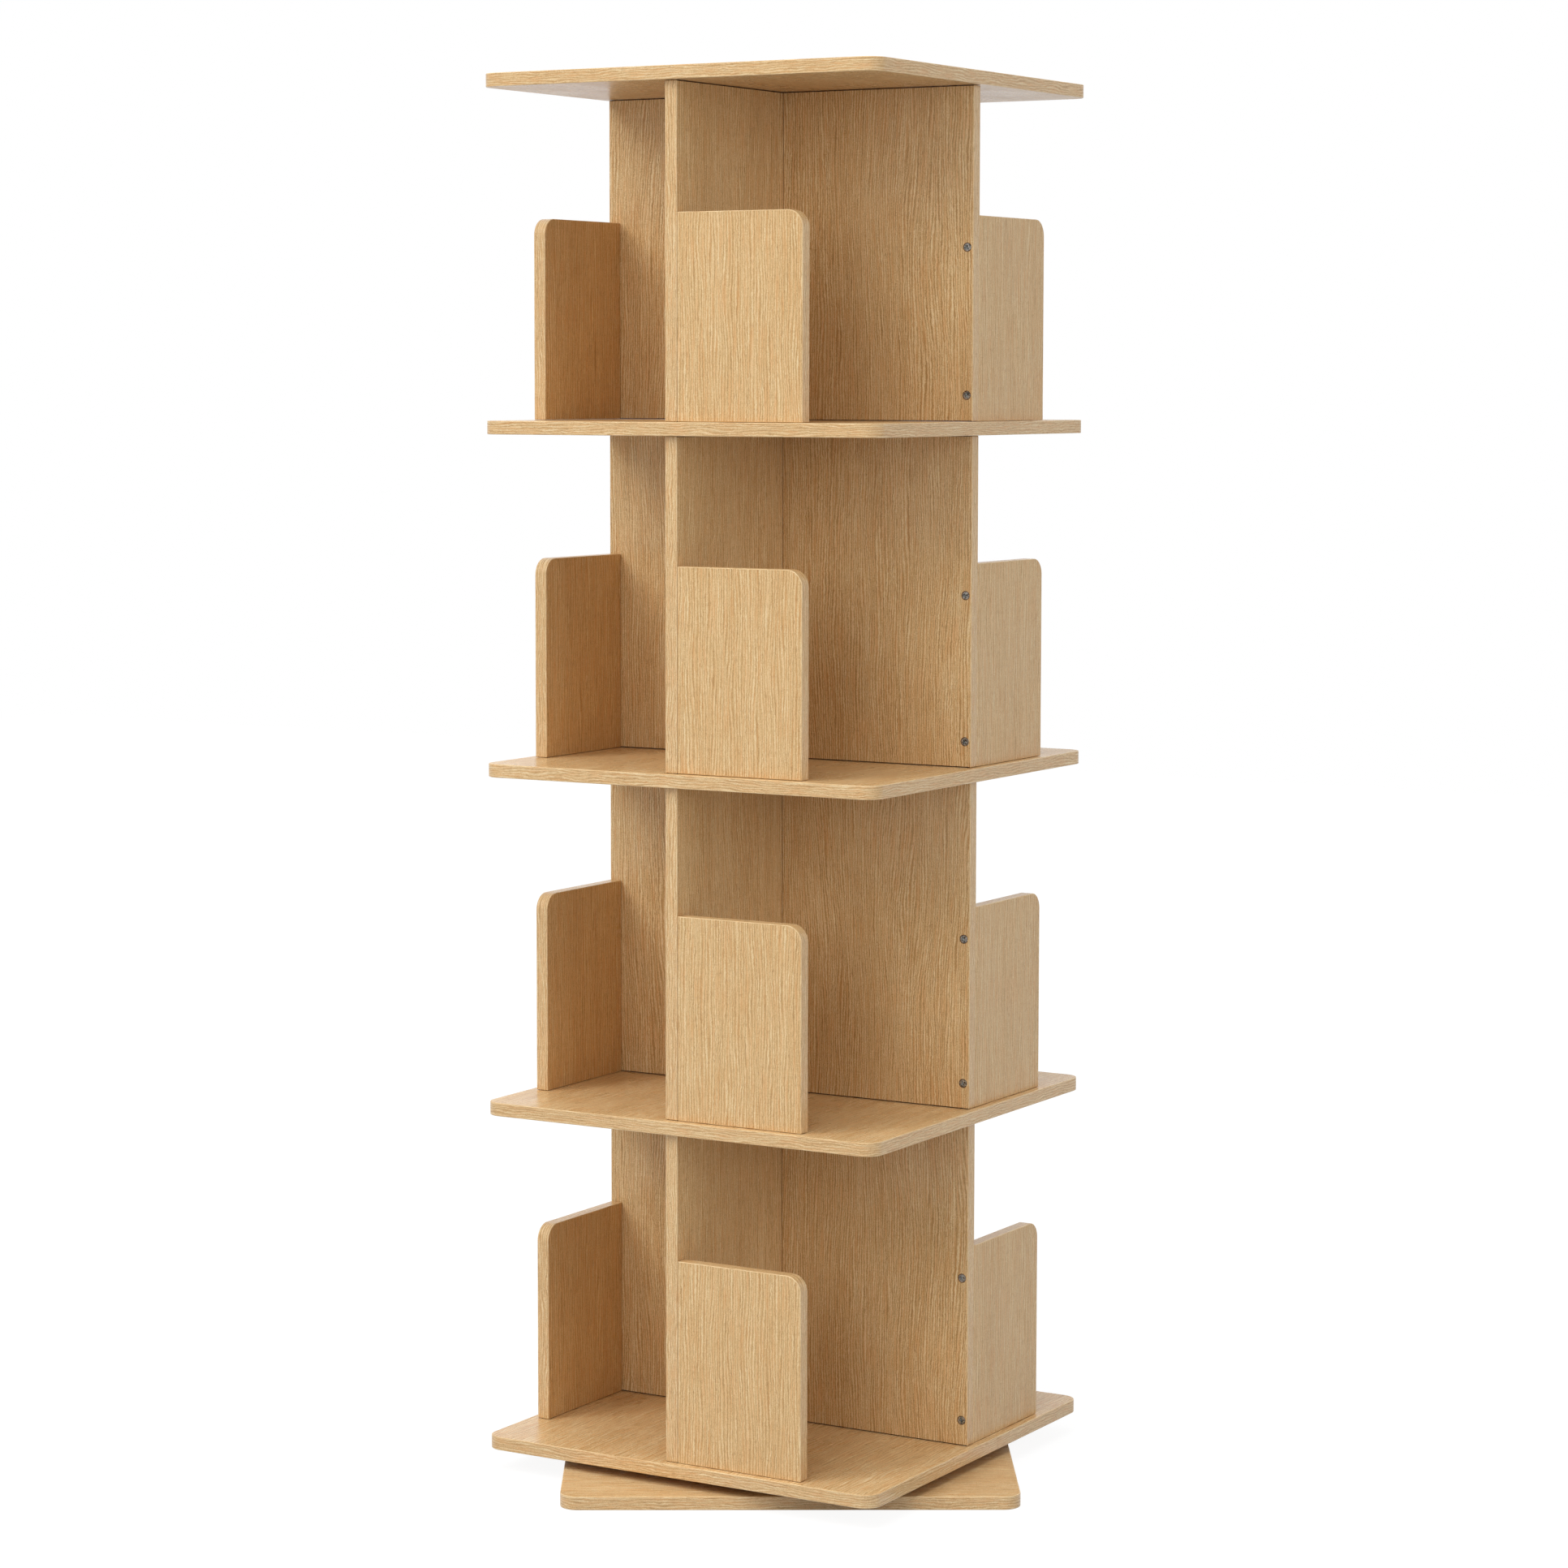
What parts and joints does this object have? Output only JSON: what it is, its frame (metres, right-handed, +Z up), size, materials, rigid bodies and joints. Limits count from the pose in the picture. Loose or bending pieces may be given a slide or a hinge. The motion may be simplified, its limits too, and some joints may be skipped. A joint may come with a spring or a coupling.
{
  "type": "revolving bookcase",
  "caption": "Tall square revolving bookcase: stacked tiers of pinwheel dividers and short side panels between square boards, turning on a plate bearing above a square base board.",
  "frame": {"origin": "on the floor under the middle of the base board, on the vertical axis that the tower turns about", "axes": "+Z up along the turning axis; at rest the tower's boards are square to X and Y, with the front of the picture's wide face towards -Y and its narrow face towards +X, and the base board stands turned 31 degrees about +Z"},
  "size_m": [0.541, 0.541, 1.25],
  "materials": {
    "oak_board": "light oak grain under a satin clear finish",
    "zinc_steel": "plain bright zinc plating"
  },
  "bodies": {
    "base": {"base_board": "oak_board", "bearing_lower_plate": "zinc_steel", "bearing_eyelet": "zinc_steel", "lower_plate_screw_1": "zinc_steel", "lower_plate_screw_2": "zinc_steel", "lower_plate_screw_3": "zinc_steel", "lower_plate_screw_4": "zinc_steel"},
    "ball_ring": {"bearing_ball_ring": "zinc_steel"},
    "tower": {"bearing_upper_plate": "zinc_steel", "upper_plate_screw_1": "zinc_steel", "upper_plate_screw_2": "zinc_steel", "upper_plate_screw_3": "zinc_steel", "upper_plate_screw_4": "zinc_steel", "shelf_1": "oak_board", "shelf_2": "oak_board", "shelf_3": "oak_board", "shelf_4": "oak_board", "top_board": "oak_board", "tier1_divider_front": "oak_board", "tier1_divider_right": "oak_board", "tier1_divider_back": "oak_board", "tier1_divider_left": "oak_board", "tier1_side_panel_front": "oak_board", "tier1_side_panel_right": "oak_board", "tier1_side_panel_back": "oak_board", "tier1_side_panel_left": "oak_board", "tier2_divider_front": "oak_board", "tier2_divider_right": "oak_board", "tier2_divider_back": "oak_board", "tier2_divider_left": "oak_board", "tier2_side_panel_front": "oak_board", "tier2_side_panel_right": "oak_board", "tier2_side_panel_back": "oak_board", "tier2_side_panel_left": "oak_board", "tier3_divider_front": "oak_board", "tier3_divider_right": "oak_board", "tier3_divider_back": "oak_board", "tier3_divider_left": "oak_board", "tier3_side_panel_front": "oak_board", "tier3_side_panel_right": "oak_board", "tier3_side_panel_back": "oak_board", "tier3_side_panel_left": "oak_board", "tier4_divider_front": "oak_board", "tier4_divider_right": "oak_board", "tier4_divider_back": "oak_board", "tier4_divider_left": "oak_board", "tier4_side_panel_front": "oak_board", "tier4_side_panel_right": "oak_board", "tier4_side_panel_back": "oak_board", "tier4_side_panel_left": "oak_board"}
  },
  "joints": [
    {"name": "tower_turn", "type": "hinge", "parent": "base", "child": "tower", "pos_m": [0, 0, 0.016], "axis": [0, 0, 1], "continuous": true},
    {"name": "ball_ring_turn", "type": "hinge", "parent": "base", "child": "ball_ring", "pos_m": [0, 0, 0.016], "axis": [0, 0, 1], "continuous": true}
  ],
  "couplings": [
    {"joint": "ball_ring_turn", "follows": "tower_turn", "ratio": 0.5}
  ]
}
